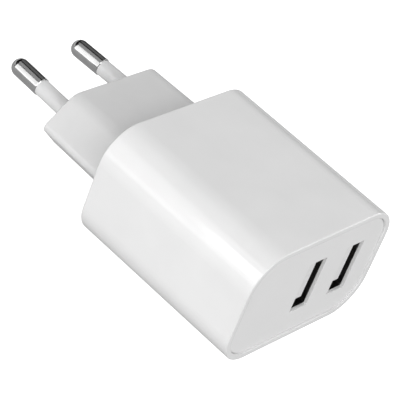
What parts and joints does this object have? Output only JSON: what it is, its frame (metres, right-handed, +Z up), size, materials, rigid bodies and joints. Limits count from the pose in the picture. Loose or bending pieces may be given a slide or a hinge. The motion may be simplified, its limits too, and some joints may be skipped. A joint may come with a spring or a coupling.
{
  "type": "usb wall charger",
  "caption": "White wall charger: rounded body with two USB-A sockets and a six-sided plug base with two round pins.",
  "frame": {"origin": "centre of the plug base's rear face, the face that meets the wall socket", "axes": "+Y out along the plug pins into the socket, +X to the right seen from the USB ports, +Z up"},
  "size_m": [0.0426, 0.079, 0.0272],
  "materials": {
    "housing_gloss": "polished white polycarbonate",
    "panel_satin": "semi-gloss white polycarbonate",
    "base_satin": "fine satin white polycarbonate",
    "pin_nickel": "brass with bright nickel plating",
    "sleeve_plastic": "smooth off-white polyamide",
    "strip_brass": "stamped brass strip",
    "shell_steel": "steel with dark nickel plating",
    "insulator_plastic": "moulded white nylon",
    "contact_gold": "gold-flashed phosphor bronze",
    "board_laminate": "green solder mask on glass laminate",
    "ferrite": "sintered ferrite",
    "bobbin_black": "black phenolic",
    "winding_wrap": "copper winding under yellow polyester wrap",
    "copper_wire": "enamelled copper wire",
    "tape_yellow": "yellow polyester tape",
    "tinned_wire": "tinned copper-clad steel wire",
    "capacitor_black": "aluminium can in a black sleeve",
    "capacitor_green": "aluminium can in a dark green sleeve",
    "resistor_grey": "grey-green flameproof coating",
    "chip_black": "moulded black epoxy",
    "disc_blue": "blue epoxy coating",
    "sheet_clear": "translucent polyester film"
  },
  "bodies": {
    "root": {"bridge_rectifier": "chip_black", "choke_winding": "copper_wire", "contact_strip_left": "strip_brass", "contact_strip_right": "strip_brass", "controller_chip": "chip_black", "front_panel": "panel_satin", "fuse_resistor": "resistor_grey", "input_capacitor_front": "capacitor_black", "input_capacitor_rear": "capacitor_black", "input_choke": "ferrite", "insulating_sheet": "sheet_clear", "main_circuit_board": "board_laminate", "main_housing": "housing_gloss", "optocoupler": "chip_black", "output_capacitor_left": "capacitor_green", "output_capacitor_right": "capacitor_green", "output_diode": "chip_black", "pin_sleeve_left": "sleeve_plastic", "pin_sleeve_right": "sleeve_plastic", "plug_base": "base_satin", "plug_pin_left": "pin_nickel", "plug_pin_right": "pin_nickel", "port_circuit_board": "board_laminate", "port_contacts_left": "contact_gold", "port_contacts_right": "contact_gold", "port_insulator_left": "insulator_plastic", "port_insulator_right": "insulator_plastic", "port_shell_left": "shell_steel", "port_shell_right": "shell_steel", "safety_capacitor": "disc_blue", "transformer_bobbin": "bobbin_black", "transformer_core_left": "ferrite", "transformer_core_right": "ferrite", "transformer_pins": "tinned_wire", "transformer_tape": "tape_yellow", "transformer_winding": "winding_wrap"}
  },
  "joints": []
}
